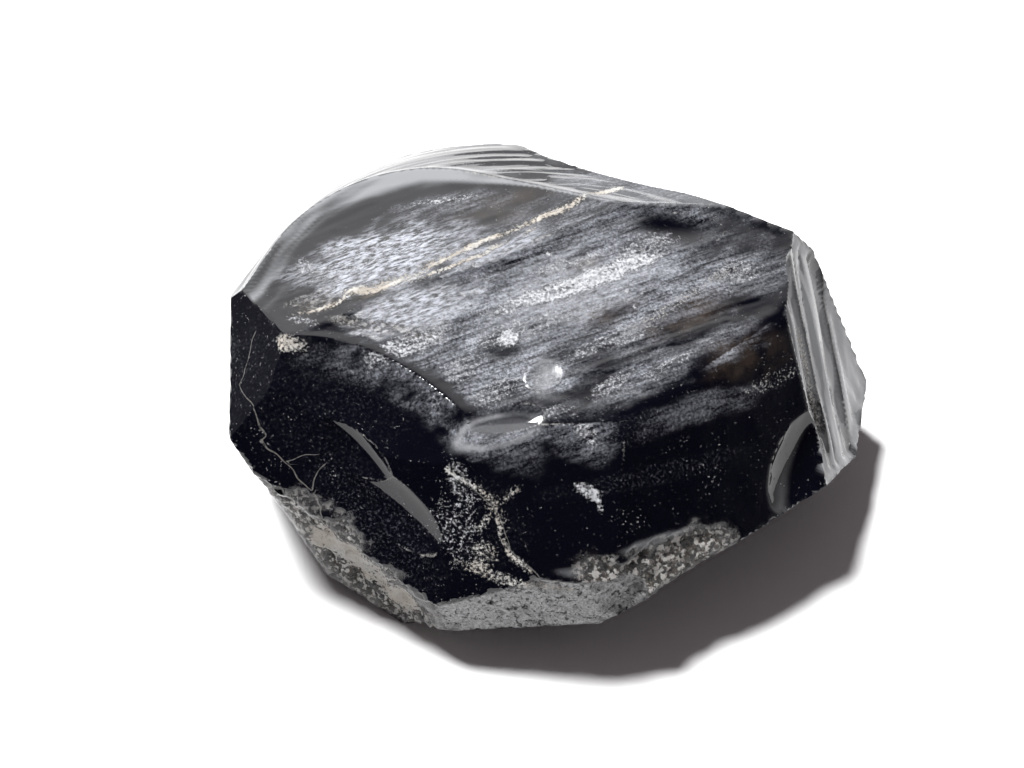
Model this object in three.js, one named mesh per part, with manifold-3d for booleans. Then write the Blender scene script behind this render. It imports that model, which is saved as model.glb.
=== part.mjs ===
// Obsidian chunk: one loose hand-sized lump of volcanic glass, broken all round by natural flaking.
// Millimetres, +Z up. +X is the long way across, -Y is the side with the broad dark faces.
// The lump is built as a convex body of flat fracture faces, then shell-shaped flake scars are cut in.
import * as THREE from 'three';
import { ConvexGeometry } from 'three/addons/geometries/ConvexGeometry.js';
import { mergeVertices } from 'three/addons/utils/BufferGeometryUtils.js';
import Module from 'manifold-3d';

const wasm = await Module();
wasm.setup();

// ---- driving dimensions, mm and degrees ----
const HEART_HEIGHT = 20; // height of the middle of the lump above the table
const LARGE_SCAR = 9; // half length from which a scar gets the finer faceting
const FINE_DETAIL = 12; // faceting of a large scar
const COARSE_DETAIL = 8; // faceting of a small scar
const SCAR_CAP = 0.8; // how far up its own ellipsoid each scar is cut, as a part of the half height
const GLASS_COLOUR = 0x15161a;
const GLASS_ROUGHNESS = 0.12;

// Everything below is measured from the heart, the middle of the lump.
// Fracture faces: azimuth round from the front, elevation of the outward normal, distance.
const FACES = {
  main_top: [12, 77, 15.5],
  back_slab: [-122, 83.5, 18.6],
  left_tip: [-62, 40, 36.6],
  front_left: [-26, 45, 27.2],
  lower_left: [-20, 30, 26.8],
  front_centre: [6, 45, 22.2],
  front_right: [34, 38, 23.8],
  cortex: [-3, -3, 34.4],
  left_under: [-35, -9, 37],
  left_side: [-87, 4, 43.5],
  right_side: [77, 25, 34.2],
  right_corner: [36, -4, 36],
  right_back: [134, 8, 37.2],
  right_low: [82, -44, 38.5],
  back_right: [151, 34, 31],
  back_face: [-178, 0, 38],
  back_left: [-132, 0, 44.4],
  back_low: [175, -42, 36],
  left_low: [-110, -42, 36],
  under_left: [-40, -36, 38.8],
  left_keel: [-64, -22, 40.2],
  under_front: [8, -52, 30.6],
  under_right: [40, -40, 30.8],
  bottom: [0, -90, HEART_HEIGHT],
};

// Rounded back rim: a fan of narrow faces touching a leaning ellipsoid.
const RIM = {
  azimuth: [-186, -113],
  elevation: [24, 70],
  turns: 13,
  steps: 5,
  centre: [14.6, 11.6, -10.0],
  radius: 46.1,
  height: 30.9,
  lean: [-1.06, -0.44],
};

// Flake scars: face, azimuth and elevation of its middle seen from the heart, roll in the face,
// half length, half width, depth.
const SCARS = [
  ['front_left', -48, 28, -24, 19, 12.5, 3.8],
  ['lower_left', -52, 11, -38, 7, 2.8, 1.3],
  ['lower_left', -39, 1, -30, 8, 3.6, 1],
  ['lower_left', -42, -12, -36, 7.5, 2.6, 0.9],
  ['front_right', 66, -2, 42, 7.5, 4.2, 1.3],
  ['right_side', 90, 13, 56, 17, 2.4, 0.9],
  ['right_side', 97, 1, 54, 14, 2.4, 0.9],
  ['right_side', 84, 6, 58, 12, 2, 0.7],
  ['cortex', 17, -9, 30, 5, 3.4, 2.2],
  ['main_top', -3, 46, 20, 3.2, 2.4, 0.45],
  ['main_top', -18, 29, 5, 6, 2.6, 0.6],
  ['main_top', 122, 41, -6, 7, 3.2, 0.5],
  ['back_right', 158, 22, 0, 17, 8, 1.8],
  ['back_face', 172, -4, 12, 17, 11, 2.4],
  ['back_face', -166, -14, -50, 9, 6, 1.3],
  ['back_left', -136, 2, 8, 13, 10, 2],
  ['right_back', 128, -2, -20, 12, 9, 1.8],
  ['left_side', -92, -4, 25, 9, 7, 1.1],
  ['left_low', -112, -40, 0, 11, 6, 1.4],
  ['back_low', 165, -38, 10, 12, 6, 1.5],
  ['under_right', 44, -34, -10, 12, 7, 1.4],
  ['right_low', 86, -40, 15, 10, 6, 1.2],
];

// Unit vector for an azimuth (0 faces the front, 90 faces +X) and an elevation above level.
function direction(azimuth, elevation) {
  const a = THREE.MathUtils.degToRad(azimuth);
  const e = THREE.MathUtils.degToRad(elevation);
  return new THREE.Vector3(Math.sin(a) * Math.cos(e), -Math.cos(a) * Math.cos(e), Math.sin(e));
}

function facePlane([azimuth, elevation, distance]) {
  return new THREE.Plane(direction(azimuth, elevation), -distance);
}

// Distance at which a plane with this normal touches the leaning ellipsoid of the rim.
function rimReach(normal) {
  const across = RIM.radius * normal.x;
  const along = RIM.radius * normal.y;
  const up = RIM.height * (normal.z + RIM.lean[0] * normal.x + RIM.lean[1] * normal.y);
  return normal.dot(new THREE.Vector3(...RIM.centre)) + Math.hypot(across, along, up);
}

function rimPlanes() {
  const planes = [];
  for (let i = 0; i < RIM.turns; i += 1) {
    const azimuth = THREE.MathUtils.lerp(...RIM.azimuth, i / (RIM.turns - 1));
    for (let j = 0; j < RIM.steps; j += 1) {
      const elevation = THREE.MathUtils.lerp(...RIM.elevation, j / (RIM.steps - 1));
      const normal = direction(azimuth, elevation);
      planes.push(new THREE.Plane(normal, -rimReach(normal)));
    }
  }
  return planes;
}

// Corner where three planes meet, or null where they run nearly parallel.
function meeting(a, b, c) {
  const cross = new THREE.Vector3().crossVectors(b.normal, c.normal);
  const spread = a.normal.dot(cross);
  if (Math.abs(spread) < 1e-4) return null;
  const point = cross.multiplyScalar(-a.constant);
  point.add(new THREE.Vector3().crossVectors(c.normal, a.normal).multiplyScalar(-b.constant));
  point.add(new THREE.Vector3().crossVectors(a.normal, b.normal).multiplyScalar(-c.constant));
  return point.divideScalar(spread);
}

// Every corner of the body that lies inside all the planes.
function bodyCorners(planes) {
  const slack = 1e-6;
  const corners = [];
  for (let i = 0; i < planes.length; i += 1) {
    for (let j = i + 1; j < planes.length; j += 1) {
      for (let k = j + 1; k < planes.length; k += 1) {
        const corner = meeting(planes[i], planes[j], planes[k]);
        if (corner && planes.every((plane) => plane.distanceToPoint(corner) < slack)) corners.push(corner);
      }
    }
  }
  return corners;
}

// Shell-shaped cutter: an ellipsoid whose tip reaches the scar's depth below its face.
function scarCutter([face, azimuth, elevation, roll, halfLength, halfWidth, depth]) {
  const normal = direction(...FACES[face]);
  const ray = direction(azimuth, elevation);
  const middle = ray.multiplyScalar(FACES[face][2] / ray.dot(normal));
  const level = new THREE.Vector3().crossVectors(new THREE.Vector3(0, 0, 1), normal).normalize();
  const along = level.applyAxisAngle(normal, THREE.MathUtils.degToRad(roll));
  const across = new THREE.Vector3().crossVectors(normal, along);
  const rise = (depth * SCAR_CAP) / (1 - SCAR_CAP);
  const spread = 1 / Math.sqrt(1 - SCAR_CAP * SCAR_CAP);
  const frame = new THREE.Matrix4().makeBasis(
    along.multiplyScalar(halfLength * spread),
    across.multiplyScalar(halfWidth * spread),
    normal.clone().multiplyScalar(rise + depth),
  );
  frame.setPosition(middle.addScaledVector(normal, rise));
  const detail = halfLength < LARGE_SCAR ? COARSE_DETAIL : FINE_DETAIL;
  return new THREE.IcosahedronGeometry(1, detail).applyMatrix4(frame);
}

function toManifold(source) {
  const geometry = source.clone();
  geometry.deleteAttribute('normal');
  geometry.deleteAttribute('uv');
  const merged = mergeVertices(geometry, 1e-5);
  const mesh = new wasm.Mesh({
    numProp: 3,
    vertProperties: new Float32Array(merged.attributes.position.array),
    triVerts: new Uint32Array(merged.index.array),
  });
  return new wasm.Manifold(mesh);
}

function toGeometry(manifold) {
  const mesh = manifold.getMesh();
  const geometry = new THREE.BufferGeometry();
  geometry.setAttribute('position', new THREE.BufferAttribute(new Float32Array(mesh.vertProperties), 3));
  geometry.setIndex(new THREE.BufferAttribute(new Uint32Array(mesh.triVerts), 1));
  geometry.computeVertexNormals();
  return geometry;
}

// The lump stands with the middle of its outline over the origin and its flat base on the table.
function standOnTable(geometry) {
  geometry.computeBoundingBox();
  const { min, max } = geometry.boundingBox;
  geometry.translate(-(min.x + max.x) / 2, -(min.y + max.y) / 2, -min.z);
  return geometry;
}

function lumpGeometry() {
  const planes = [...Object.values(FACES).map(facePlane), ...rimPlanes()];
  let lump = toManifold(new ConvexGeometry(bodyCorners(planes)));
  for (const scar of SCARS) {
    lump = lump.subtract(toManifold(scarCutter(scar)));
  }
  return standOnTable(toGeometry(lump));
}

const glass = new THREE.MeshStandardMaterial({
  color: GLASS_COLOUR,
  roughness: GLASS_ROUGHNESS,
  metalness: 0,
});

const chunk = new THREE.Mesh(lumpGeometry(), glass);
chunk.name = 'obsidian_chunk';

const part = new THREE.Group();
part.name = 'obsidian_chunk_part';
part.add(chunk);

export default part;
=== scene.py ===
import math

import bpy
import numpy as np
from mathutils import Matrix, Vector


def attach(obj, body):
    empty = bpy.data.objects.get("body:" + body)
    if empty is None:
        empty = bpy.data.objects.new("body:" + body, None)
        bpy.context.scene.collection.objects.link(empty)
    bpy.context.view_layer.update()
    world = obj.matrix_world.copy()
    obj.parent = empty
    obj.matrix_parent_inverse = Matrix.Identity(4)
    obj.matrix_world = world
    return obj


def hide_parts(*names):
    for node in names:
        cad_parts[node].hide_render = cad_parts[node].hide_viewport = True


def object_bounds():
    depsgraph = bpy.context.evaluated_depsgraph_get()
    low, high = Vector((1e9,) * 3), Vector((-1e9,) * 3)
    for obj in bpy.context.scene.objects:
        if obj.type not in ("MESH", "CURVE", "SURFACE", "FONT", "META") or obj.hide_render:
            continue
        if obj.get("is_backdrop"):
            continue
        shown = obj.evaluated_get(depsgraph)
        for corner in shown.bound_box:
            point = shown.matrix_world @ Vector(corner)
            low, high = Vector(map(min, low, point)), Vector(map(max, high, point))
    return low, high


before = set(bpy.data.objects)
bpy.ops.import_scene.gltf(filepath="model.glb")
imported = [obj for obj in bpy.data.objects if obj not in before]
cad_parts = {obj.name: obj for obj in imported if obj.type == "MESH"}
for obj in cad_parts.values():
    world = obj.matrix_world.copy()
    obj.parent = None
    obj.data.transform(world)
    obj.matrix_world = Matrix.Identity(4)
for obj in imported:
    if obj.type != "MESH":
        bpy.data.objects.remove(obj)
CAD_LOW, CAD_HIGH = (np.array(corner, float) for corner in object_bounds())

# ---------------------------------------------------------------------------
# Sizes. The shape is worked out in millimetres from the heart of the lump.
# ---------------------------------------------------------------------------
MM = 0.001
SEED = 7
HEART_HEIGHT = 20.0
LEFT_REACH = 44.588
FRONT_REACH = 34.767
SCAR_CAP = 0.8
GRID = 98
FRONT_BIAS = 0.32

FACES = {
    "main_top": (12, 77, 15.5),
    "back_slab": (-122, 83.5, 18.6),
    "left_tip": (-62, 40, 36.6),
    "front_left": (-26, 45, 27.2),
    "lower_left": (-20, 30, 26.8),
    "front_centre": (6, 45, 22.2),
    "front_right": (34, 38, 23.8),
    "cortex": (-3, -3, 34.4),
    "left_under": (-35, -9, 37.0),
    "left_side": (-87, 4, 43.5),
    "right_side": (77, 25, 34.2),
    "right_corner": (36, -4, 36.0),
    "right_back": (134, 8, 37.2),
    "right_low": (82, -44, 38.5),
    "back_right": (151, 34, 31.0),
    "back_face": (-178, 0, 38.0),
    "back_left": (-132, 0, 44.4),
    "back_low": (175, -42, 36.0),
    "left_low": (-110, -42, 36.0),
    "under_left": (-40, -36, 38.8),
    "left_keel": (-64, -22, 40.2),
    "under_front": (8, -52, 30.6),
    "under_right": (40, -40, 30.8),
    "bottom": (0, -90, HEART_HEIGHT),
}
RIM_AZIMUTH = (-186.0, -113.0)
RIM_ELEVATION = (24.0, 70.0)
RIM_CENTRE = np.array([14.6, 11.6, -10.0])
RIM_RADIUS = 46.1
RIM_HEIGHT = 30.9
RIM_LEAN = (-1.06, -0.44)

# Flake scars: face, azimuth and elevation of the middle from the heart, roll, half length, half width, depth.
SCARS = {
    "front_left_scar": ("front_left", -48, 28, -24, 19, 12.5, 3.8),
    "crescent_a": ("lower_left", -52, 11, -38, 7, 2.8, 1.3),
    "crescent_b": ("lower_left", -39, 1, -30, 8, 3.6, 1.0),
    "crescent_c": ("lower_left", -42, -12, -36, 7.5, 2.6, 0.9),
    "lower_right_scar": ("front_right", 66, -2, 42, 7.5, 4.2, 1.3),
    "flute_a": ("right_side", 90, 13, 56, 17, 2.4, 0.9),
    "flute_b": ("right_side", 97, 1, 54, 14, 2.4, 0.9),
    "flute_c": ("right_side", 84, 6, 58, 12, 2.0, 0.7),
    "notch": ("cortex", 17, -9, 30, 5.0, 3.4, 2.2),
    "dimple_a": ("main_top", -3, 46, 20, 3.2, 2.4, 0.45),
    "dimple_b": ("main_top", -18, 29, 5, 6.0, 2.6, 0.6),
    "dish": ("main_top", 122, 41, -6, 7.0, 3.2, 0.5),
    "back_right_scar": ("back_right", 158, 22, 0, 17, 8, 1.8),
    "back_scar": ("back_face", 172, -4, 12, 17, 11, 2.4),
    "back_small_scar": ("back_face", -166, -14, -50, 9, 6, 1.3),
    "back_left_scar": ("back_left", -136, 2, 8, 13, 10, 2.0),
    "right_back_scar": ("right_back", 128, -2, -20, 12, 9, 1.8),
    "left_side_scar": ("left_side", -92, -4, 25, 9, 7, 1.1),
    "left_low_scar": ("left_low", -112, -40, 0, 11, 6, 1.4),
    "back_low_scar": ("back_low", 165, -38, 10, 12, 6, 1.5),
    "under_right_scar": ("under_right", 44, -34, -10, 12, 7, 1.4),
    "right_low_scar": ("right_low", 86, -40, 15, 10, 6, 1.2),
}
FAR = 1.0e3


def unit(v):
    return v / np.linalg.norm(v, axis=-1, keepdims=True)


def direction(azimuth, elevation):
    """Unit vectors for azimuths (0 faces -Y, 90 faces +X) and elevations in degrees."""
    a = np.radians(azimuth)
    e = np.radians(elevation)
    level = np.cos(e)
    return np.stack([np.sin(a) * level, -np.cos(a) * level, np.sin(e) + 0.0 * a], -1)


# ---------------------------------------------------------------------------
# Shape: distance from the heart along each direction
# ---------------------------------------------------------------------------
def plane_distance(d, normal, reach):
    """Distance to a plane along each direction, FAR where it faces away."""
    facing = d @ normal if normal.ndim == 1 else (d * normal).sum(-1)
    return np.where(facing > 1e-3, reach / np.maximum(facing, 1e-3), FAR)


def rim_reach(normal):
    """How far out a plane with this normal touches the leaning ellipsoid of the rim."""
    lean = normal[..., 2] + RIM_LEAN[0] * normal[..., 0] + RIM_LEAN[1] * normal[..., 1]
    flat = RIM_RADIUS * normal[..., :2]
    return normal @ RIM_CENTRE + np.sqrt((flat**2).sum(-1) + (RIM_HEIGHT * lean) ** 2)


def rim_distance(d):
    """The rounded rim: the nearest of all the planes that touch the ellipsoid within its range of normals."""
    best = np.full(len(d), FAR)
    best_azimuth = np.zeros(len(d))
    best_elevation = np.zeros(len(d))
    turns, turn = np.linspace(*RIM_AZIMUTH, 20, retstep=True)
    steps, step = np.linspace(*RIM_ELEVATION, 8, retstep=True)
    for azimuth in turns:
        for elevation in steps:
            normal = direction(azimuth, elevation)
            found = plane_distance(d, normal, rim_reach(normal))
            nearer = found < best
            best[nearer] = found[nearer]
            best_azimuth[nearer] = azimuth
            best_elevation[nearer] = elevation
    for _ in range(6):
        turn *= 0.5
        step *= 0.5
        start = (best_azimuth.copy(), best_elevation.copy())
        for i in (-1, 0, 1):
            for j in (-1, 0, 1):
                azimuth = np.clip(start[0] + i * turn, *RIM_AZIMUTH)
                elevation = np.clip(start[1] + j * step, *RIM_ELEVATION)
                normal = direction(azimuth, elevation)
                found = plane_distance(d, normal, rim_reach(normal))
                nearer = found < best
                best[nearer] = found[nearer]
                best_azimuth[nearer] = azimuth[nearer]
                best_elevation[nearer] = elevation[nearer]
    return best


def on_face(face, azimuth, elevation):
    """The point of a fracture face that is seen from the heart in this direction."""
    normal = direction(*FACES[face][:2])
    ray = direction(azimuth, elevation)
    return ray * FACES[face][2] / (ray @ normal)


def face_axes(face, roll=0.0):
    """Two directions in a face, turned by roll from level, and its normal."""
    normal = direction(*FACES[face][:2])
    level = unit(np.cross((0.0, 0.0, 1.0), normal)) if abs(normal[2]) < 0.999 else np.array((1.0, 0.0, 0.0))
    rise = np.cross(normal, level)
    turn = math.radians(roll)
    along = math.cos(turn) * level + math.sin(turn) * rise
    return along, np.cross(normal, along), normal


def entry_distance(d, centre, rows):
    """Distance at which each direction enters an ellipsoid given by its centre and scaled axes."""
    start = rows @ (-centre)
    step = d @ rows.T
    a = (step**2).sum(-1)
    b = step @ start
    c = start @ start - 1.0
    inside = b * b - a * c
    root = (-b - np.sqrt(np.maximum(inside, 0.0))) / a
    return np.where((inside > 0.0) & (root > 0.0), root, FAR)


def scar_distance(d, face, azimuth, elevation, roll, half_length, half_width, depth):
    """Distance to the ellipsoid that cuts a flake scar this deep into a face."""
    along, across, normal = face_axes(face, roll)
    rise = depth * SCAR_CAP / (1.0 - SCAR_CAP)
    spread = 1.0 / math.sqrt(1.0 - SCAR_CAP**2)
    centre = on_face(face, azimuth, elevation) + normal * rise
    rows = np.stack([along / (half_length * spread), across / (half_width * spread), normal / (rise + depth)])
    return entry_distance(d, centre, rows)


SURFACES = list(FACES) + ["rim"] + list(SCARS)
ROW = {name: i for i, name in enumerate(SURFACES)}


def all_distances(d):
    """One row of distances for each surface. The nearest one is the skin of the plain lump."""
    rows = []
    for azimuth, elevation, reach in FACES.values():
        rows.append(plane_distance(d, direction(azimuth, elevation), reach))
    rows.append(rim_distance(d))
    for scar in SCARS.values():
        rows.append(scar_distance(d, *scar))
    return np.stack(rows)


def geodesic(frequency):
    """Unit directions and triangles of an icosahedron split into frequency parts along each edge."""
    g = (1.0 + math.sqrt(5.0)) / 2.0
    corners = unit(np.array([
        (-1, g, 0), (1, g, 0), (-1, -g, 0), (1, -g, 0), (0, -1, g), (0, 1, g),
        (0, -1, -g), (0, 1, -g), (g, 0, -1), (g, 0, 1), (-g, 0, -1), (-g, 0, 1)], float))
    sides = [
        (0, 11, 5), (0, 5, 1), (0, 1, 7), (0, 7, 10), (0, 10, 11), (1, 5, 9), (5, 11, 4), (11, 10, 2),
        (10, 7, 6), (7, 1, 8), (3, 9, 4), (3, 4, 2), (3, 2, 6), (3, 6, 8), (3, 8, 9), (4, 9, 5),
        (2, 4, 11), (6, 2, 10), (8, 6, 7), (9, 8, 1)]
    points = []
    triangles = []
    start = 0
    for side in sides:
        a, b, c = corners[list(side)]
        index = {}
        for i in range(frequency + 1):
            for j in range(frequency + 1 - i):
                index[i, j] = start + len(index)
                points.append((a * (frequency - i - j) + b * i + c * j) / frequency)
        for i in range(frequency):
            for j in range(frequency - i):
                triangles.append((index[i, j], index[i + 1, j], index[i, j + 1]))
                if j < frequency - i - 1:
                    triangles.append((index[i + 1, j], index[i + 1, j + 1], index[i, j + 1]))
        start += len(index)
    points = unit(np.array(points))
    _, first, merged = np.unique(np.round(points, 6), axis=0, return_index=True, return_inverse=True)
    return points[first], merged.reshape(-1)[np.array(triangles)]


def tangents(d):
    """Two unit vectors across each direction."""
    pole = np.where(np.abs(d[:, 2:3]) < 0.9, (0.0, 0.0, 1.0), (1.0, 0.0, 0.0))
    a = unit(np.cross(pole, d))
    return a, np.cross(d, a)


def signed_size(d, triangles):
    """Signed size of each triangle seen from the heart, below 0 where it is turned over."""
    a, b, c = d[triangles[:, 0]], d[triangles[:, 1]], d[triangles[:, 2]]
    return (np.cross(b - a, c - a) * (a + b + c)).sum(-1)


def snap_to_edges(d, triangles, spacing):
    """Slides the directions close to a crease onto it, so that edges between faces come out straight."""
    nudge = 1e-4
    thinnest = 0.12
    for _ in range(2):
        rows = all_distances(d)
        order = np.argsort(rows, axis=0)[:2]
        pick = np.arange(len(d))
        gap = rows[order[1], pick] - rows[order[0], pick]
        a, b = tangents(d)
        slope = []
        for t in (a, b):
            moved = all_distances(unit(d + nudge * t))
            slope.append((moved[order[1], pick] - moved[order[0], pick] - gap) / nudge)
        steep = slope[0] ** 2 + slope[1] ** 2
        reach = gap / np.sqrt(np.maximum(steep, 1e-9))
        near = (reach < spacing) & (steep > 1.0)
        shift = -(gap / np.maximum(steep, 1e-9))[:, None] * (slope[0][:, None] * a + slope[1][:, None] * b)
        snapped = np.where(near[:, None], unit(d + shift), d)
        before = signed_size(d, triangles)
        for _ in range(3):
            spoilt = np.unique(triangles[signed_size(snapped, triangles) < thinnest * before])
            snapped[spoilt] = d[spoilt]
        d = snapped
    return d


# ---------------------------------------------------------------------------
# Repeatable noise, on points in mm
# ---------------------------------------------------------------------------
def scramble(cell, seed):
    """Pseudo-random numbers from 0 to 1 for whole-number cells."""
    h = cell[..., 0] * 73856093 + cell[..., 1] * 19349663 + cell[..., 2] * 83492791 + (seed + SEED) * 40503
    h = (h ^ (h >> 13)) & 0xFFFFFFFF
    h = (h * 1274126177) & 0xFFFFFFFF
    h = ((h ^ (h >> 16)) * 668265263) & 0xFFFFFFFF
    return (h ^ (h >> 15)) / 2.0**32


CORNERS = np.array([(i, j, k) for i in (0, 1) for j in (0, 1) for k in (0, 1)])
NEIGHBOURS = np.array([(i, j, k) for i in (-1, 0, 1) for j in (-1, 0, 1) for k in (-1, 0, 1)])


def value_noise(q, seed):
    """Smooth noise from -1 to 1 with cells one unit wide."""
    base = np.floor(q).astype(np.int64)
    part = q - base
    ease = part * part * (3.0 - 2.0 * part)
    total = np.zeros(len(q))
    for corner in CORNERS:
        weight = np.where(corner == 1, ease, 1.0 - ease).prod(-1)
        total += weight * scramble(base + corner, seed)
    return 2.0 * total - 1.0


def fractal(q, seed, octaves):
    """Noise from -1 to 1 with finer and finer detail."""
    total = np.zeros(len(q))
    size = 0.0
    for octave in range(octaves):
        weight = 0.55**octave
        total += weight * value_noise(q * 2.03**octave, seed + octave)
        size += weight
    return total / size


def nearest_seed(q, seed):
    """Squared distance to the nearest scattered point, one to a cell, and that point's own random number."""
    base = np.floor(q).astype(np.int64)
    best = np.full(len(q), 9.0)
    own = np.zeros(len(q))
    for step in NEIGHBOURS:
        cell = base + step
        point = cell + np.stack([scramble(cell, seed + k) for k in (11, 12, 13)], -1)
        gap = ((q - point) ** 2).sum(-1)
        nearer = gap < best
        best = np.where(nearer, gap, best)
        own = np.where(nearer, scramble(cell, seed + 14), own)
    return best, own


def smooth(low, high, value):
    """0 below low, 1 above high, and an eased step between."""
    t = np.clip((value - low) / (high - low), 0.0, 1.0)
    return t * t * (3.0 - 2.0 * t)


def stretched(p, face, roll, length, width):
    """Coordinates along and across a direction in a face, measured in lengths and widths."""
    along, across, normal = face_axes(face, roll)
    return np.stack([p @ along / length, p @ across / width, p @ normal / width], -1)


# ---------------------------------------------------------------------------
# Where the stone's skin changes. Each mark: face, azimuth and elevation from the heart, roll,
# half length, half width, strength. A negative strength clears what is there.
# ---------------------------------------------------------------------------
FLOW_ROLL = 13.0
FLUTE_ROLL = 55.0
TOP = ["main_top", "back_slab", "dimple_a", "dimple_b", "dish"]
FLUTED = ["right_side", "flute_a", "flute_b", "flute_c"]
TOP_REACH = 1.8
SIDE_REACH = 5.0

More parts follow.
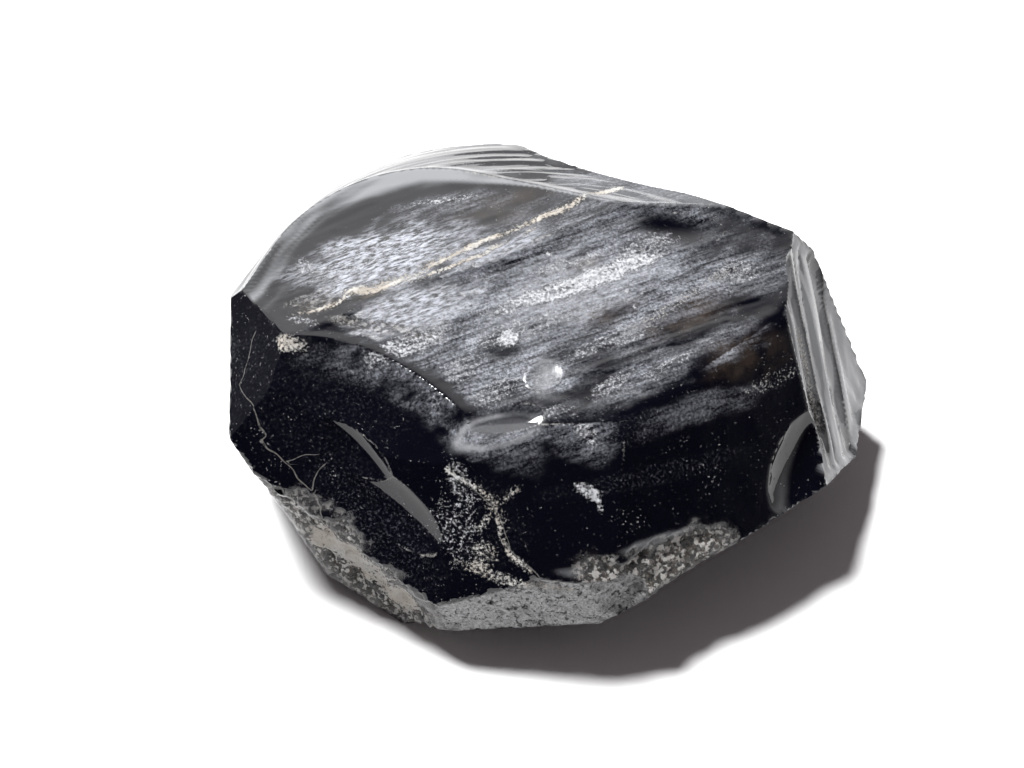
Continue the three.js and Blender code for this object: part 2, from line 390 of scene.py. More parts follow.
MARKS = {
    "haze": [
        ("main_top", 170, 88, 13, 32, 16.0, 0.55),
        ("main_top", 133, 86, 8, 16, 4.0, 0.6),
        ("main_top", 122, 50, 10, 9, 4.4, 0.4),
        ("main_top", -41, 40, 20, 10, 6.5, 0.75),
        ("main_top", -60, 60, 12, 10, 5.0, 0.5),
        ("main_top", 46, 35, 20, 9, 3.2, 0.7),
        ("main_top", 73, 29, 18, 8, 2.6, 0.85),
        ("main_top", 86, 42, 16, 11, 3.6, 0.7),
        ("main_top", 100, 30, 4, 7, 4.5, 0.5),
        ("main_top", -3, 45, 10, 4.4, 3.4, 0.8),
        ("main_top", -18, 29, 2, 7.5, 3.6, 0.8),
        ("front_centre", 11, 27, -46, 5.5, 4.0, 0.45),
        ("front_right", 53, 20, -9, 10, 2.2, 0.35),
        ("front_centre", -14, 22, -30, 5, 3.0, 0.25),
        ("back_slab", -143, 36, 128, 9, 3.0, 0.40),
        ("main_top", 88, 46, 14, 15, 6.0, 0.40),
        ("main_top", 128, 52, 12, 10, 3.0, 0.45),
        ("back_face", -176, 6, 24, 14, 4.5, 0.55),
        ("back_face", 168, -8, 10, 10, 3.0, 0.45),
        ("back_left", -134, -2, -28, 12, 4.0, 0.50),
        ("back_left", -122, 12, -18, 9, 2.4, 0.45),
        ("right_back", 130, 6, 34, 11, 4.0, 0.50),
        ("back_right", 152, 32, 12, 13, 3.2, 0.45),
        ("left_side", -90, 2, 58, 9, 3.0, 0.40),
        ("main_top", 137, 67, 8, 3.6, 1.2, -0.9),
        ("main_top", 73, 59, 20, 4.4, 1.6, -0.8),
        ("main_top", 83, 37, 15, 8, 2.8, -0.6),
        ("main_top", 123, 41, -30, 6.5, 2.8, -1.0),
        ("main_top", -38, 54, 0, 3.0, 2.4, -0.9),
    ],
    "snow": [
        ("main_top", 140, 88, 9, 13, 2.0, 0.62),
        ("main_top", 118, 58, 9, 8, 1.8, 0.55),
        ("main_top", 122, 48, 6, 6.5, 2.8, 0.42),
        ("main_top", 150, 70, 9, 8, 1.4, 0.40),
        ("main_top", -30, 70, 12, 9, 2.4, 0.36),
        ("main_top", 50, 52, 14, 9, 1.8, 0.36),
        ("main_top", 30, 38, 26, 5, 1.5, 0.42),
        ("main_top", 60, 33, 20, 8, 1.2, 0.50),
        ("main_top", -44, 36, 40, 6, 2.4, 0.36),
        ("main_top", 100, 31, 4, 4.5, 2.4, 0.45),
        ("main_top", -66, 36, 12, 7.5, 2.2, 0.52),
        ("main_top", -25, 36, 20, 5, 2.4, 0.40),
        ("front_centre", 12, 28, -60, 3.6, 1.4, 0.45),
        ("front_centre", 5, 33, -20, 3.2, 1.6, 0.45),
        ("front_centre", 10, 11, -30, 2.4, 1.3, 0.50),
        ("front_centre", 13, 8, -75, 2.4, 0.5, 0.45),
        ("front_centre", -23, 12, -78, 5.0, 2.0, 0.33),
        ("lower_left", -24, 0, -60, 6.0, 3.4, 0.28),
        ("back_slab", -143, 34, 128, 7, 0.8, 0.42),
        ("back_slab", -101, 24, 60, 2.8, 1.6, 0.42),
        ("back_slab", -100, 29, 145, 9.0, 0.8, 0.45),
        ("front_left", -79, 27, 8, 3.0, 0.8, 0.45),
        ("back_face", -170, 10, 28, 9, 1.5, 0.42),
        ("back_left", -126, 8, -22, 8, 1.4, 0.42),
        ("right_back", 124, -4, 40, 7, 1.2, 0.42),
        ("main_top", -38, 58, 0, 1.7, 1.5, 0.50),
    ],
    "leaf": [
        ("back_slab", -108, 34, 143, 14.0, 7.0, 1.0),
        ("back_slab", -135, 60, 150, 8.0, 2.0, 0.7),
        ("main_top", -80, 41, 12, 10, 4.0, 0.95),
        ("main_top", 110, 78, 13, 16, 7.0, 0.35),
    ],
    "cream": [
        ("main_top", 84, 43, 26, 11, 1.3, 0.42),
        ("main_top", 100, 32, 6, 3.6, 1.8, 0.45),
        ("left_tip", -76, 23, 30, 2.4, 1.5, 0.70),
        ("front_centre", -14, 0, 0, 2.4, 2.0, 0.45),
        ("front_centre", -14, 8, -60, 3.2, 1.6, 0.40),
        ("lower_left", -20, 3, -60, 5.0, 2.0, 0.22),
        ("left_under", -53, -14, -23, 6, 3.4, 0.90),
        ("left_under", -43, -18, -23, 7, 3.4, 0.80),
        ("left_under", -35, -22, -23, 3.4, 3.4, 0.90),
        ("cortex", -6, -7, -4, 12, 1.0, 0.55),
        ("front_right", 73, 15, 0, 6.0, 1.5, 0.30),
        ("right_side", 86, 6, 55, 9, 1.2, 0.55),
        ("right_corner", 26, -8, -4, 8, 1.2, 0.30),
        ("back_face", -178, -24, 0, 14, 6, 0.55),
        ("back_low", 175, -40, 0, 14, 8, 0.5),
    ],
    "crumb": [
        ("left_under", -48, -16, -23, 18, 7, 1.0),
        ("right_corner", 30, -8, -4, 9.5, 3.0, 1.0),
        ("right_corner", 14, -5, -4, 3.5, 2.4, 0.7),
        ("left_tip", -86, 27, 60, 2.4, 1.4, 0.3),
        ("right_side", 80, 0, 55, 3.5, 1.6, 0.9),
        ("back_low", 168, -34, 0, 12, 3, 0.8),
        ("front_left", -68, 37, 8, 9.5, 0.9, 0.45),
    ],
    "brown": [
        ("main_top", 83, 37, 15, 9, 3.4, 0.8),
        ("main_top", 137, 67, 8, 4, 1.6, 0.8),
        ("main_top", 73, 59, 20, 5, 2.0, 0.7),
        ("front_right", 73, 24, -7, 7.5, 4.0, 0.7),
        ("front_centre", 11, -5, -10, 4.0, 1.7, 1.0),
        ("left_under", -46, -17, -23, 8, 3, 0.8),
        ("back_slab", -95, 38, 154, 8, 1.5, 0.7),
        ("back_slab", -157, 44, 138, 9, 4, 0.6),
    ],
    "groove": [
        ("back_slab", -95, 37, 154, 8.5, 1.5, 1.0),
        ("back_slab", -87, 27, 150, 4.0, 2.6, 0.8),
    ],
    "mottle": [
        ("front_left", -64, 17, 0, 14, 11, 0.45),
        ("lower_left", -41, -4, -36, 13, 7, 1.0),
        ("left_tip", -80, 8, 80, 13, 5, 0.7),
        ("front_right", 37, 23, -9, 9, 2.2, 0.9),
        ("back_face", 178, -2, 0, 24, 16, 0.8),
        ("back_left", -130, 0, 0, 22, 16, 0.8),
        ("right_back", 132, 0, 0, 20, 14, 0.8),
        ("left_side", -88, 0, 0, 14, 12, 0.6),
        ("front_right", 32, 10, -12, 15, 1.6, 0.9),
        ("front_right", 73, 15, 0, 6, 1.2, 0.9),
        ("front_centre", -16, 6, -60, 7, 5.0, 0.5),
    ],
    # Pale strips; this layer also carries the painted reflection on the flutes and in the band inside the
    # rim.
    "pale_and_painted_reflection": [
        ("lower_left", -42, -12, -36, 6.0, 1.5, 0.45),
        ("front_right", 27, -3, -9, 5.6, 0.8, 0.45),
        ("front_centre", 5, -4, -12, 2.6, 0.7, 0.35),
        ("back_slab", -155, 30, 138, 10, 2.0, 0.25),
    ],
}

# A ring round one dimple and a spot in another: a light frost, and pale colour that paints the highlights on
# them:
# face, azimuth, elevation, roll, half length, half width.
WORN_HIGHLIGHT_RINGS = [
    ("main_top", -18, 28, 3, 5.6, 2.1),
]
WORN_HIGHLIGHT_SPOTS = [
    ("main_top", -3, 45, 80, 2.6, 1.5),
]

# Thin pale veins: directions from the heart, half width, strength.
VEINS = [
    ([(-84, 25), (-96, 36), (-109, 45), (-134, 53), (-165, 54), (169, 49), (154, 36)], 0.75, 0.95),
    ([(-95, 40), (-109, 51), (-142, 59), (-170, 57)], 0.5, 0.8),
    ([(-29, 15), (-21, 12), (-15, 9), (-12, 2), (-9, -2), (-5, -4)], 0.5, 0.75),
    ([(-9, 13), (-14, 9), (-18, 2)], 0.6, 0.65),
]

# Pale crack lines, as directions from the heart.
CRACKS = [
    [(-83, 18), (-77, 11), (-71, 11), (-67, 7), (-67, 6), (-62, 4), (-56, 0), (-53, -2), (-51, -6)],
    [(-62, 4), (-59, 7)],
    [(-56, 0), (-56, 5)],
    [(-27, 15), (-19, 10), (-13, 7), (-10, 0)],
    [(-11, 0), (-3, -4)],
]


def flow_noise(p, length, width, seed, octaves):
    """Noise drawn out along the flow banding of the top."""
    return fractal(stretched(p, "main_top", FLOW_ROLL, length, width), seed, octaves)


def warped(p, amount, cell, seed):
    """The points moved about by smooth noise, so that a line laid on them wanders."""
    return p + amount * np.stack([value_noise(p / cell, seed + k) for k in range(3)], -1)


def mark_strength(p, d, face, azimuth, elevation, roll, half_length, half_width):
    """1 in the middle of a mark, falling to 0 past its ragged rim."""
    along, across, normal = face_axes(face, roll)
    off = p - on_face(face, azimuth, elevation)
    ragged = 0.45 * flow_noise(p, length=3.6, width=1.5, seed=40, octaves=4)
    span = np.sqrt((off @ along / half_length) ** 2 + (off @ across / half_width) ** 2) + ragged
    reach = TOP_REACH if face in TOP else SIDE_REACH
    sunk = np.abs(off @ normal) / reach
    facing = smooth(0.15, 0.35, d @ normal)
    return (1.0 - smooth(0.45, 1.15, span)) * facing * (1.0 - smooth(1.0, 1.8, sunk))


def oval_span(p, face, azimuth, elevation, roll, half_length, half_width):
    """How far out from the middle of an oval on a face, 1 at its rim."""
    along, across, _ = face_axes(face, roll)
    off = p - on_face(face, azimuth, elevation)
    return np.hypot(off @ along / half_length, off @ across / half_width)


def beside_line(p, line):
    """For a line of directions on the skin: the distance from it in mm, and the signed one to its side."""
    size = np.linalg.norm(p, axis=-1)[:, None]
    best = np.full(len(p), FAR)
    side = np.full(len(p), FAR)
    points = [direction(*corner) for corner in line]
    for a, b in zip(points[:-1], points[1:]):
        start = a * size
        run = (b - a) * size
        part = np.clip(((p - start) * run).sum(-1) / (run**2).sum(-1), 0.0, 1.0)
        off = p - start - run * part[:, None]
        gap = np.linalg.norm(off - (off * unit(p)).sum(-1)[:, None] * unit(p), axis=-1)
        side = np.where(gap < best, p @ unit(np.cross(a, b)), side)
        best = np.minimum(best, gap)
    return best, side


def crack_sides(p):
    """Signed distance in mm to the side of the nearest crack, and 1 near one falling to 0 away from it."""
    bent = warped(p, 0.35, cell=1.7, seed=60)
    best = np.full(len(p), FAR)
    side = np.full(len(p), FAR)
    for line in CRACKS:
        gap, to_side = beside_line(bent, line)
        side = np.where(gap < best, to_side, side)
        best = np.minimum(best, gap)
    return side, 1.0 - smooth(0.45, 0.8, best)


def with_veins(p, cream):
    """The cream layer with the thin veins laid over it."""
    bent = warped(p, 0.5, cell=3.0, seed=64)
    uneven = np.clip(0.95 + 0.8 * fractal(p / 5.0, seed=68, octaves=3), 0.0, 1.0)
    for line, half_width, strength in VEINS:
        gap, _ = beside_line(bent, line)
        cream = np.maximum(cream, strength * uneven * np.exp(-((gap / half_width) ** 2)))
    return cream


def paint_wear_and_highlights(p):
    """Frosting by wear, with painted highlights: patchy rings with a faint middle, brighter towards the
    front, and spots that fade outward.
    """
    wear_and_painted_highlight = np.zeros(len(p))
    for ring in WORN_HIGHLIGHT_RINGS:
        behind = (p - on_face(*ring[:3]))[:, 1]
        uneven = 0.55 + 0.75 * fractal(p / 2.4, seed=44, octaves=3) - 0.04 * behind
        span = oval_span(p, *ring)
        rim = np.exp(-(((span - 0.95) / 0.15) ** 2)) * np.clip(uneven, 0.0, 1.0)
        middle = 0.2 * (1.0 - smooth(0.6, 1.0, span))
        wear_and_painted_highlight = np.maximum(wear_and_painted_highlight, np.maximum(rim, middle))
    for spot in WORN_HIGHLIGHT_SPOTS:
        uneven = np.clip(0.8 + 0.8 * fractal(p / 1.8, seed=47, octaves=3), 0.0, 1.0)
        wear_and_painted_highlight = np.maximum(wear_and_painted_highlight, uneven * np.exp(-(oval_span(p, *spot) ** 2)))
    return wear_and_painted_highlight


def skin_marks(p, d):
    """Strength of each kind of mark at each point, from 0 to 1."""
    skin = {}
    for name, marks in MARKS.items():
        layer = np.zeros(len(p))
        for mark in marks:
            amount = mark_strength(p, d, *mark[:-1])
            strength = mark[-1]
            if strength > 0.0:
                layer += strength * amount * (1.0 - layer)
            else:
                layer *= 1.0 + strength * amount
        skin[name] = layer
    skin["cream"] = with_veins(p, skin["cream"])
    # Light frost on two dimples, and painted highlights on them.
    skin["wear_and_painted_highlight"] = paint_wear_and_highlights(p)
    return skin


# ---------------------------------------------------------------------------
# Relief: how far the skin is worn or flaked in from the plain surface, in mm
# ---------------------------------------------------------------------------
STREAK_DEPTH = 0.12
LAYER_DEPTH = 0.12
SWELL_DEPTH = 0.12
PLATE_STEP = 0.16
LEAF_DEPTH = 0.14
GROOVE_DEPTH = 0.9
RIM_DEPTH = 0.32
FLUTE_DEPTH = 0.95
BOWL_DEPTH = 1.0
SMALL_BOWL_DEPTH = 0.45
BOWL_SPREAD = 1.3
PIT_DEPTH = 0.5
CRUST_DEPTH = 0.12


def on_surfaces(surface, names):
    return np.isin(surface, [ROW[name] for name in names]).astype(float)


def within(rows, names, width):
    """0 off these surfaces and at their creases, rising to 1 once the others are this many mm further out."""
    mine = [ROW[name] for name in names]
    others = np.delete(rows, mine, axis=0).min(0)
    return smooth(0.0, width, others - rows[mine].min(0))


def flow_relief(p, top, skin):
    """Streaks, thin broken layers and the leafy texture along the flow banding of the top."""
    fine = 1.0 - np.abs(flow_noise(p, length=9.0, width=1.0, seed=1, octaves=3))
    layers = smooth(0.02, 0.10, flow_noise(p, length=16.0, width=4.0, seed=5, octaves=4))
    leafy = flow_noise(p, length=2.6, width=0.8, seed=9, octaves=3)
    broad = 0.5 + 0.5 * flow_noise(p, length=12.0, width=5.0, seed=15, octaves=2)
    depth = STREAK_DEPTH * fine + LAYER_DEPTH * layers + SWELL_DEPTH * broad
    plate = skin["leaf"]
    on_plate = plate * (0.10 + LEAF_DEPTH * leafy)
    return top * (depth + PLATE_STEP * (1.0 - plate)) + on_plate + GROOVE_DEPTH * skin["groove"]


def around(p):
    """Azimuth of each point, in degrees."""
    return np.degrees(np.arctan2(p[:, 0], -p[:, 1]))


def rim_relief(p, rim):
    """Long shallow bands that follow the curve of the rim."""
    degrees_long = 34.0
    mm_wide = 2.0
    out = np.hypot(p[:, 0], p[:, 1]) - 0.6 * p[:, 2]
    bands = np.stack([around(p) / degrees_long, out / mm_wide, 0.0 * out], -1)
    return rim * (RIM_DEPTH + RIM_DEPTH * fractal(bands, seed=21, octaves=3))


def flute_relief(p, flutes):
    """Long scoops with sharp ridges between them."""
    lines = stretched(p, "right_side", FLUTE_ROLL, length=16.0, width=2.6)
    return flutes * FLUTE_DEPTH * (1.0 - np.abs(fractal(lines, seed=25, octaves=2)) ** 0.8)


def bowls(p, cell, seed):
    """1 at the bottom of round bowls, about one to a cell, and 0 between them."""
    gap, _ = nearest_seed(p / cell, seed)
    return np.clip(1.0 - BOWL_SPREAD * gap, 0.0, 1.0)


def crumbled_relief(p, crumb):
    """Small bowls with sharp rims, where the edge has crumbled."""
    coarse = BOWL_DEPTH * bowls(p, cell=3.0, seed=30)
    small = SMALL_BOWL_DEPTH * bowls(p, cell=1.3, seed=50)
    return crumb * (0.25 + coarse + small)


def pitted_relief(p, cortex):
    """A rough crust with scattered pits of many sizes."""
    gap, own = nearest_seed(p / 1.5, seed=70)
    pits = np.clip(1.0 - gap / (0.05 + 0.16 * own), 0.0, 1.0) * (own > 0.35)
    return cortex * (CRUST_DEPTH + CRUST_DEPTH * fractal(p / 1.6, seed=73, octaves=3) + PIT_DEPTH * pits)


# Arcs in a flaked face: face, azimuth and elevation of the point it was struck from, spacing, depth.
RIPPLES = [
    ("front_left_scar", -70, 40, 3.4, 0.05),
    ("lower_left", -60, 10, 4.2, 0.05),
    ("front_right", 70, 24, 5.0, 0.04),
    ("front_centre", 6, 34, 5.5, 0.04),
    ("lower_right_scar", 60, 10, 1.3, 0.07),
    ("left_tip", -76, 36, 4.0, 0.05),
    ("back_scar", 172, 20, 2.6, 0.10),
    ("back_left_scar", -136, 20, 2.4, 0.10),
    ("back_face", -160, 26, 3.4, 0.12),
    ("back_left", -112, 24, 3.4, 0.12),
    ("right_back_scar", 120, 14, 2.4, 0.10),
    ("right_back", 112, 20, 3.2, 0.12),
    ("back_right", 150, 50, 4.4, 0.12),
    ("left_side", -92, 24, 3.6, 0.10),
    ("back_low", 175, -20, 3.4, 0.12),
    ("left_low", -110, -20, 3.2, 0.12),
    ("right_corner", 36, 8, 2.8, 0.05),
    ("under_front", 8, -30, 3.2, 0.08),
    ("under_right", 40, -20, 3.2, 0.10),
    ("right_low", 82, -20, 3.2, 0.10),
    ("left_side_scar", -92, 10, 2.2, 0.08),
]
STRUCK_AT = 40.0


def ripple_relief(p, surface):
    """Faint arcs spreading from where each flake was struck off, and a slight unevenness."""
    wave = 0.10 * (0.5 + 0.5 * value_noise(p / 11.0, seed=80)) + 0.02 * (1.0 + value_noise(p / 3.5, seed=81))
    for name, azimuth, elevation, spacing, depth in RIPPLES:
        way = np.linalg.norm(p - STRUCK_AT * direction(azimuth, elevation), axis=-1)
        bent_way = way + 1.1 * value_noise(p / 6.0, seed=83)
        ring = 0.5 + 0.5 * np.sin(2.0 * math.pi * bent_way / spacing)
        patchy = 0.55 + 0.45 * value_noise(p / 9.0, seed=84)
        wave += depth * ring * patchy * (surface == ROW[name])
    return wave


# ---------------------------------------------------------------------------
# The whole lump
# ---------------------------------------------------------------------------
STRETCH = (46.0, 37.0, 24.0)
FRONT = np.array((0.0, -0.6, 0.75))
SNAP = 0.8
NICK_COUNT = 160
CREASE_GAP = 0.08
LOWEST_NICK = -0.42
SHOULDERED = ["main_top", "front_centre", "front_right", "dimple_a", "dimple_b"]
ROUGH = ["cortex", "left_under", "right_corner", "under_left", "under_front", "under_right", "left_keel",
         "right_low", "back_low", "left_low", "back_face", "back_left"]
# Width of the band of painted reflection inside the rim, measured down to the rim's own surface, round its
# azimuth.
RIM_BAND_AZIMUTH = (-175.0, -165.0, -147.0, -132.0, -105.0, -95.0)
RIM_BAND_WIDTH = (0.15, 0.4, 1.1, 1.95, 1.8, 3.0)


def chip_edges(d, radius, crease, rng):
    """Takes small round chips out along the creases."""
    picked = rng.choice(np.flatnonzero(crease), NICK_COUNT, replace=False)
    for i in picked:
        size = rng.uniform(0.3, 0.65) * rng.uniform(1.0, 1.8)
        middle = d[i] * (radius[i] + size * rng.uniform(0.55, 0.85))
        across = d @ middle
        inside = across**2 - (middle @ middle - size**2)
        entry = np.where((inside > 0.0) & (across > 0.0), across - np.sqrt(np.maximum(inside, 0.0)), FAR)
        radius = np.minimum(radius, entry)
    return radius


def ease_shoulder(rows):
    """How much to round off where the top meets the faces in front, and how much further out they are."""
    blend = 2.2
    top = rows[ROW["main_top"]]
    front = np.minimum(rows[ROW["front_centre"]], rows[ROW["front_right"]])
    overlap = np.maximum(blend - np.abs(top - front), 0.0) / blend
    return overlap**2 * blend / 4.0, front - top


def lump_directions():
    """Directions and triangles, closer together towards the front, with the creases snapped straight."""
    grid = GRID
    d, triangles = geodesic(grid)
    d = unit(d * STRETCH)
    d = unit(d + FRONT_BIAS * FRONT)
    return snap_to_edges(d, triangles, SNAP / grid), triangles


def fade_marks(p, rows, surface, shoulder, skin):
    """Thins the frosting out at the front and left edges of the top; gives back what is left at the front."""
    fade = smooth(-0.5, 3.5, shoulder + 1.6 * fractal(p / 3.0, seed=90, octaves=3))
    on_top = on_surfaces(surface, TOP) > 0.5
    for name in ("haze", "snow"):
        skin[name] = skin[name] * np.where(on_top, fade, 1.0)
    left_front = np.minimum(rows[ROW["front_left"]], rows[ROW["front_left_scar"]]) - rows[ROW["main_top"]]
    fringe = smooth(0.6, 2.2, left_front + 2.0 * fractal(p / 3.0, seed=91, octaves=3))
    for name in ("haze", "leaf", "snow"):
        skin[name] = skin[name] * np.where(surface == ROW["main_top"], fringe, 1.0)
    return fade


def painted_reflection_bands(p, to_rim, surface, gap):
    """Painted reflection: the light tone of the flutes, and of the stripes in the band inside the rim."""
    azimuth = around(p)
    azimuth = np.where(azimuth > 90.0, azimuth - 360.0, azimuth)
    width = np.interp(azimuth, RIM_BAND_AZIMUTH, RIM_BAND_WIDTH)
    width = width * (1.0 + 0.12 * value_noise(p / 6.0, seed=27))
    lines = np.stack([azimuth / 24.0, to_rim / 1.3 + p[:, 2] / 1.6, 0.0 * gap], -1)
    stripes = smooth(-0.35, 0.30, fractal(lines, seed=26, octaves=3))
    in_band = (1.0 - smooth(0.65, 1.1, to_rim / width)) * on_surfaces(surface, TOP)
    near_rim = in_band + 0.3 * on_surfaces(surface, ["rim"])
    return 0.8 * on_surfaces(surface, FLUTED) * smooth(0.0, 0.6, gap) + near_rim * stripes


def all_relief(p, rows, surface, fade, skin):
    """Every kind of relief together, with none on the base or at its edge."""
    in_bowl = within(rows, ["dimple_a", "dimple_b", "dish"], 0.2)
    top = within(rows, TOP, 1.6)
    rim = within(rows, ["rim"], 1.2)
    flutes = within(rows, FLUTED, 1.6)
    cortex = within(rows, ["cortex", "notch"], 0.5)
    above_base = within(rows, [name for name in SURFACES if name != "bottom"], 0.6)
    relief = (
        flow_relief(p, top * fade * (1.0 - in_bowl), skin) + rim_relief(p, rim) + flute_relief(p, flutes)
        + crumbled_relief(p, skin["crumb"]) + pitted_relief(p, cortex) + ripple_relief(p, surface))
    return above_base * relief


def build_lump():
    """Vertices in mm from the heart, triangles, and what the skin is like at each vertex."""
    d, triangles = lump_directions()
    rows = all_distances(d)
    surface = rows.argmin(0)
    radius = rows.min(0)
    second = np.argpartition(rows, 1, axis=0)[1]
    gap = rows[second, np.arange(len(d))] - radius
    round_off, shoulder = ease_shoulder(rows)
    radius = radius - round_off * on_surfaces(surface, SHOULDERED)
    p = d * radius[:, None]
    skin = skin_marks(p, d)
    fade = fade_marks(p, rows, surface, shoulder, skin)
    skin["cortex"] = within(rows, ["cortex", "notch"], 0.25)
    # Pale colour along the creases: a painted highlight on the edges.
    skin["painted_crease_highlight"] = np.exp(-gap / 0.45) * (0.5 + 0.5 * fractal(p / 4.0, seed=95, octaves=3))
    to_rim = (rows[ROW["rim"]] - radius).clip(0.0)
    # Add the painted reflection of the flutes and the rim band to the pale strips.
    skin["pale_and_painted_reflection"] = np.clip(skin["pale_and_painted_reflection"] + painted_reflection_bands(p, to_rim, surface, gap), 0.0, 1.0)
    radius = radius - all_relief(p, rows, surface, fade, skin)
    rough = on_surfaces(surface, ROUGH) + on_surfaces(second, ROUGH)
    crease = (gap < CREASE_GAP) & (d[:, 2] > LOWEST_NICK) & (rough > 0.5)
    radius = chip_edges(d, radius, crease, np.random.default_rng(SEED))
    points = d * radius[:, None]
    skin["crack_side"], skin["crack_near"] = crack_sides(points)
    return points, triangles, skin


def to_mesh(name, points, triangles):
    mesh = bpy.data.meshes.new(name)
    mesh.vertices.add(len(points))
    mesh.vertices.foreach_set("co", points.astype(np.float32).ravel())
    mesh.loops.add(3 * len(triangles))
    mesh.loops.foreach_set("vertex_index", triangles.astype(np.int32).ravel())
    mesh.polygons.add(len(triangles))
    mesh.polygons.foreach_set("loop_start", np.arange(0, 3 * len(triangles), 3, dtype=np.int32))
    mesh.update(calc_edges=True)
    mesh.validate()
    thing = bpy.data.objects.new(name, mesh)
    bpy.context.scene.collection.objects.link(thing)
    return thing


def store(mesh, name, values):
    layer = mesh.attributes.new(name, "FLOAT", "POINT")
    layer.data.foreach_set("value", values.astype(np.float32))


SHARP_FROM = 28.0

points, triangles, skin = build_lump()
HEART = CAD_LOW / MM + np.array((LEFT_REACH, FRONT_REACH, HEART_HEIGHT))
stone = to_mesh("obsidian_stone", (points + HEART) * MM, triangles)
for layer_name, layer_values in skin.items():
    store(stone.data, layer_name, layer_values)
stone.data.set_sharp_from_angle(angle=math.radians(SHARP_FROM))


# ---------------------------------------------------------------------------
# Material
# ---------------------------------------------------------------------------
obsidian = bpy.data.materials.new("obsidian")
obsidian.use_nodes = True
tree = obsidian.node_tree


def add(kind, settings, inputs, output=0):
    """A shader node with its settings and inputs filled in; gives back one of its outputs."""
    made = tree.nodes.new("ShaderNode" + kind)
    for key, value in settings.items():
        setattr(made, key, value)
    for key, value in inputs.items():
        if isinstance(value, bpy.types.NodeSocket):
            tree.links.new(value, made.inputs[key])
        else:
            made.inputs[key].default_value = value
    return made.outputs[output]


def sum_of(a, b):
    return add("Math", {"operation": "ADD"}, {0: a, 1: b})


def times(a, b):
    return add("Math", {"operation": "MULTIPLY"}, {0: a, 1: b})


def step_between(value, low, high):
    settings = {"interpolation_type": "SMOOTHSTEP"}
    return add("MapRange", settings, {"Value": value, "From Min": low, "From Max": high})


def blend(amount, a, b):
    return add("Mix", {"data_type": "RGBA"}, {"Factor": amount, "A": a, "B": b}, "Result")


def blend_value(amount, a, b):
    return add("Mix", {"data_type": "FLOAT"}, {"Factor": amount, "A": a, "B": b}, "Result")


def noise(place, scale, detail, roughness):
    return add("TexNoise", {}, {"Vector": place, "Scale": scale, "Detail": detail, "Roughness": roughness})


def layer(name):
    return add("Attribute", {"attribute_type": "GEOMETRY", "attribute_name": name}, {}, "Fac")


def along_flow(length):
    """Places in mm, drawn out to this length along the flow banding of the top."""
    return add("Mapping", {"vector_type": "TEXTURE"}, {
        "Vector": in_mm, "Rotation": (0.0, 0.0, FLOW_ANGLE), "Scale": (length, 1.0, 1.0)})


def cells(feature, scale, output):
    return add("TexVoronoi", {"feature": feature}, {"Vector": bent_mm, "Scale": scale}, output)


def grey(level, tint=(1.0, 1.0, 1.0)):
    return (level * tint[0], level * tint[1], level * tint[2], 1.0)


FLOW_ANGLE = math.radians(24.5)
SHARD_SCALE = 2.1
DUST_SCALE = 1.5

GLASS = (0.0014, 0.0015, 0.0036, 1.0)
BROWN_GLASS = (0.032, 0.023, 0.018, 1.0)
MOTTLED_GLASS = (0.070, 0.072, 0.086, 1.0)
CREAM = (0.50, 0.49, 0.47, 1.0)
TAN = (0.40, 0.36, 0.31, 1.0)
FROST = (0.94, 0.98, 1.10)
SNOW = (0.96, 0.99, 1.05)
BRIGHT_SNOW = (0.97, 0.99, 1.04)
CRUST = (1.0, 1.01, 1.02)
CHALK = (1.03, 1.0, 0.95)
RUST = (1.25, 1.0, 0.78)

# Patterns, in mm.
where = add("TexCoord", {}, {}, "Object")
in_mm = add("VectorMath", {"operation": "SCALE"}, {0: where, "Scale": 1.0 / MM})
streak = noise(along_flow(9.0), 1.5, 5.0, 0.68)
leafy = noise(along_flow(3.2), 2.4, 5.0, 0.72)
fine = noise(in_mm, 2.6, 5.0, 0.72)
broad = noise(in_mm, 0.28, 3.0, 0.6)
wander = add("TexNoise", {}, {"Vector": in_mm, "Scale": 2.2, "Detail": 4.0, "Roughness": 0.7}, "Color")
bent_mm = add("VectorMath", {"operation": "MULTIPLY_ADD"}, {0: wander, 1: (1.1, 1.1, 1.1), 2: in_mm})
shard_level = add("SeparateColor", {}, {"Color": cells("F1", SHARD_SCALE, "Color")}, 0)
shard_edge = cells("DISTANCE_TO_EDGE", SHARD_SCALE, "Distance")
dust_gap = cells("F1", DUST_SCALE, "Distance")

# How much of each kind of skin shows at a point.
weave = sum_of(times(streak, 0.65), times(fine, 0.35))
haze = times(layer("haze"), step_between(weave, 0.36, 0.66))
snow = step_between(sum_of(layer("snow"), sum_of(times(fine, 1.9), times(streak, 0.9))), 1.72, 2.10)
leaf = layer("leaf")
cream = step_between(sum_of(layer("cream"), times(fine, 2.6)), 1.72, 2.15)
cortex = layer("cortex")
crumb = layer("crumb")
brown = times(layer("brown"), step_between(broad, 0.30, 0.70))
mottle = times(layer("mottle"), step_between(fine, 0.48, 0.78))
dust_here = step_between(noise(in_mm, 0.22, 4.0, 0.7), 0.53, 0.66)
dust = times(step_between(dust_gap, 0.17, 0.10), dust_here)
painted_crease_highlight = step_between(sum_of(layer("painted_crease_highlight"), times(fine, 0.8)), 0.95, 1.25)
wear_and_painted_highlight = times(layer("wear_and_painted_highlight"), step_between(fine, 0.15, 0.45))
off_crack = add("Math", {"operation": "ABSOLUTE"}, {0: layer("crack_side")})
crack_line = times(step_between(off_crack, 0.085, 0.035), layer("crack_near"))
crack = times(crack_line, step_between(fine, 0.30, 0.55))
pit = step_between(noise(in_mm, 1.5, 3.0, 0.6), 0.57, 0.63)

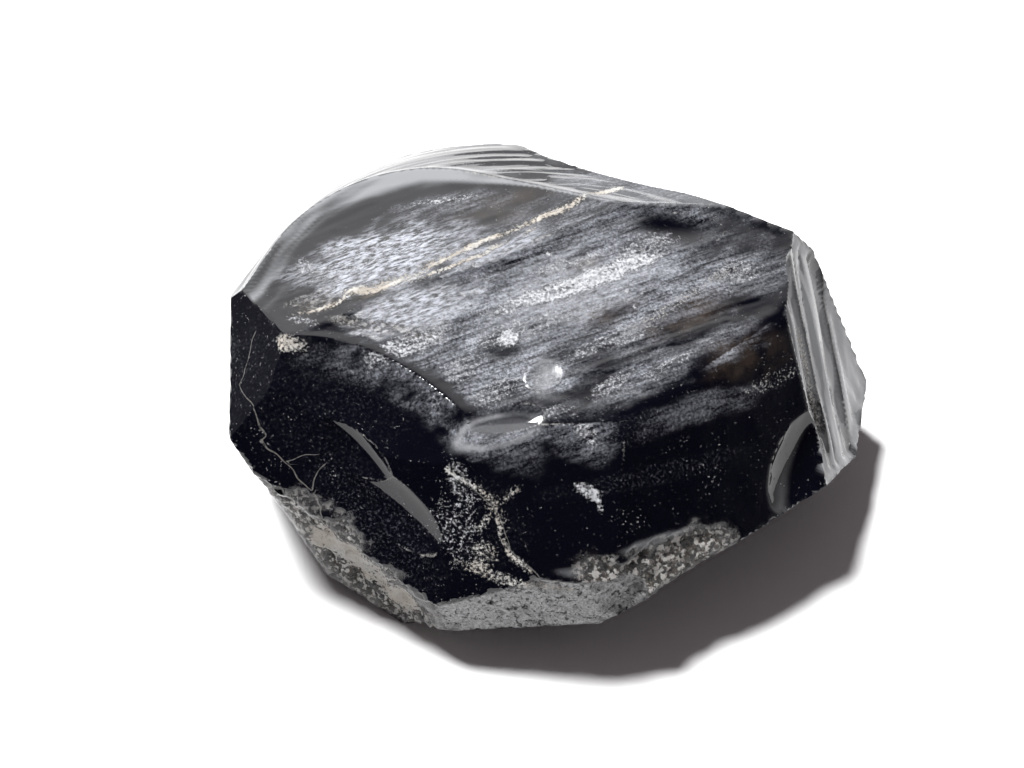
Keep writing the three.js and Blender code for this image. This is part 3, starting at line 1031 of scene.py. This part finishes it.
# Colours that vary within one kind of skin.
# The pale flecks of the leafy plate are partly frost and partly painted glints.
leaf_frost_and_painted_glints = blend(step_between(leafy, 0.38, 0.66), grey(0.022), grey(0.52, FROST))
haze_colour = blend(step_between(fine, 0.30, 0.70), grey(0.13, FROST), grey(0.42, FROST))
shard_colour = blend(step_between(shard_level, 0.30, 0.45), grey(0.003), grey(0.045, RUST))
# Bright shards in the crumbled strips: partly white crushed glass, partly painted glints.
pale_shard_and_painted_glint = step_between(sum_of(shard_level, times(fine, 0.5)), 0.92, 1.02)
shard_colour = blend(pale_shard_and_painted_glint, shard_colour, grey(0.60, CHALK))
crust_colour = blend(step_between(fine, 0.30, 0.70), grey(0.08, CRUST), grey(0.33, CRUST))
crust_colour = blend(pit, crust_colour, grey(0.008))
cream_colour = blend(step_between(broad, 0.35, 0.65), CREAM, TAN)
snow_colour = blend(step_between(fine, 0.40, 0.72), grey(0.27, SNOW), grey(0.60, BRIGHT_SNOW))

# Each kind of skin covers the ones before it: how much, and its colour.
COATS = [
    (brown, BROWN_GLASS),
    (times(mottle, 0.75), MOTTLED_GLASS),
    (times(layer("groove"), 0.85), grey(0.006, (1.3, 1.0, 0.8))),
    # Pale strips, and painted reflection on the flutes and in the band inside the rim.
    (layer("pale_and_painted_reflection"), grey(0.21, (0.97, 1.0, 1.05))),
    (leaf, leaf_frost_and_painted_glints),
    (haze, haze_colour),
    (times(crumb, 0.8), shard_colour),
    (cortex, crust_colour),
    (cream, cream_colour),
    (snow, snow_colour),
    # Pale colour of the worn frost, which also paints the highlights on two dimples.
    (wear_and_painted_highlight, grey(0.26, BRIGHT_SNOW)),
    # Painted highlight along the creases.
    (painted_crease_highlight, grey(0.26, (1.02, 1.0, 0.96))),
    (crack, grey(0.11, CHALK)),
    (dust, grey(0.30)),
]
colour = GLASS
for amount, coat_colour in COATS:
    colour = blend(amount, colour, coat_colour)

# The same for roughness.
GLASS_ROUGHNESS = 0.055
ROUGHNESSES = [
    (mottle, 0.20),
    (leaf, 0.22),
    (haze, 0.34),
    (crumb, 0.11),
    (cortex, 0.42),
    (cream, 0.50),
    (snow, 0.45),
    (wear_and_painted_highlight, 0.26),
    (painted_crease_highlight, 0.35),
    (dust, 0.60),
]
roughness = GLASS_ROUGHNESS
for amount, coat_roughness in ROUGHNESSES:
    roughness = blend_value(amount, roughness, coat_roughness)

# Fine bumps: a pattern, and its height in mm.
BUMPS = [
    (streak, times(layer("haze"), 0.10)),
    (leafy, times(leaf, 0.30)),
    (fine, times(sum_of(snow, cream), 0.12)),
    (shard_edge, times(crumb, 0.50)),
    (fine, times(cortex, 0.25)),
    (pit, times(cortex, -0.20)),
    (dust, 0.06),
    (broad, 0.03),
]
height = times(*BUMPS[0])
for pattern, bump_height in BUMPS[1:]:
    height = sum_of(height, times(pattern, bump_height))
bump = add("Bump", {}, {"Height": height, "Distance": MM, "Strength": 1.0})

shader = tree.nodes["Principled BSDF"]
tree.links.new(colour, shader.inputs["Base Color"])
tree.links.new(roughness, shader.inputs["Roughness"])
tree.links.new(bump, shader.inputs["Normal"])
shader.inputs["IOR"].default_value = 1.5

stone.data.materials.append(obsidian)
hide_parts("obsidian_chunk")
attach(stone, "root")

# ---------------------------------------------------------------------------
# Floor and camera
# ---------------------------------------------------------------------------
FLOOR_SIZE = 6.0
FLOOR_WHITE = grey(0.9)
FLOOR_ROUGHNESS = 0.9

bpy.ops.mesh.primitive_plane_add(size=FLOOR_SIZE, location=(0.0, 0.0, CAD_LOW[2]))
floor = bpy.context.object
floor.name = "floor"
white = bpy.data.materials.new("floor_white")
white.use_nodes = True
white_shader = white.node_tree.nodes["Principled BSDF"]
white_shader.inputs["Base Color"].default_value = FLOOR_WHITE
white_shader.inputs["Roughness"].default_value = FLOOR_ROUGHNESS
white_shader.inputs["Specular IOR Level"].default_value = 0.0
floor.data.materials.append(white)
floor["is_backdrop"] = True

CAMERA_ELEVATION = 45.0
CAMERA_DISTANCE = 0.3972
LENS = 100.0
SENSOR = 36.0
AIM = (HEART + np.array((-5.0, 4.4, -5.6))) * MM
toward = direction(0.0, CAMERA_ELEVATION)
camera_data = bpy.data.cameras.new("camera")
camera_data.lens = LENS
camera_data.sensor_width = SENSOR
camera = bpy.data.objects.new("camera", camera_data)
camera.location = AIM + toward * CAMERA_DISTANCE
camera.rotation_euler = (math.radians(90.0 - CAMERA_ELEVATION), 0.0, 0.0)
bpy.context.scene.collection.objects.link(camera)
bpy.context.scene.camera = camera

# ---------------------------------------------------------------------------
# Light: a bright surround that stays put, dark on the front side above the table, and dimmer
# on the left and low down. Matt surfaces are lit less by it than the glass shows, and the camera
# sees plain white.
# ---------------------------------------------------------------------------
TENT = 1.7
TENT_NEAR = 0.015
NEAR_FROM = 79.0
NEAR_FULL = 55.0
LEFT_SHADE = 0.20
LOW_SHADE = 0.35
TENT_ON_MATT = (0.125, 0.108, 0.114, 1.0)
SUN_FROM = direction(-122.0, 66.0)
SUN_STRENGTH = 7.5
SUN_WIDTH = 16.0

world = bpy.data.worlds.new("studio")
bpy.context.scene.world = world
world.use_nodes = True
tree = world.node_tree


def eased(value, start, end, first, last):
    inputs = {"Value": value, "From Min": start, "From Max": end, "To Min": first, "To Max": last}
    return add("MapRange", {"interpolation_type": "SMOOTHSTEP"}, inputs)


surround = add("TexCoord", {}, {}, "Generated")
frontward = add("VectorMath", {"operation": "DOT_PRODUCT"}, {0: surround, 1: toward}, "Value")
far_edge = math.cos(math.radians(NEAR_FROM))
near_edge = math.cos(math.radians(NEAR_FULL))
tent = eased(frontward, far_edge, near_edge, TENT, TENT_NEAR)
sideways = add("SeparateXYZ", {}, {"Vector": surround}, "X")
upward = add("SeparateXYZ", {}, {"Vector": surround}, "Z")
tent = times(tent, eased(upward, 0.0, 0.5, LOW_SHADE, 1.0))
tent = times(tent, eased(sideways, -0.90, -0.60, LEFT_SHADE, 1.0))
seen = add("LightPath", {}, {}, "Is Camera Ray")
matt = add("LightPath", {}, {}, "Is Diffuse Ray")
on_glass = add("CombineColor", {}, {0: tent, 1: tent, 2: tent})
light = blend(matt, on_glass, TENT_ON_MATT)
light = blend(seen, light, grey(1.0))
tree.links.new(light, tree.nodes["Background"].inputs["Color"])
tree.nodes["Background"].inputs["Strength"].default_value = 1.0

sun_data = bpy.data.lights.new("key", "SUN")
sun_data.energy = SUN_STRENGTH
sun_data.angle = math.radians(SUN_WIDTH)
sun = bpy.data.objects.new("key", sun_data)
sun.rotation_euler = Vector(SUN_FROM).to_track_quat("Z", "Y").to_euler()
bpy.context.scene.collection.objects.link(sun)

bpy.context.scene.view_settings.view_transform = "Standard"
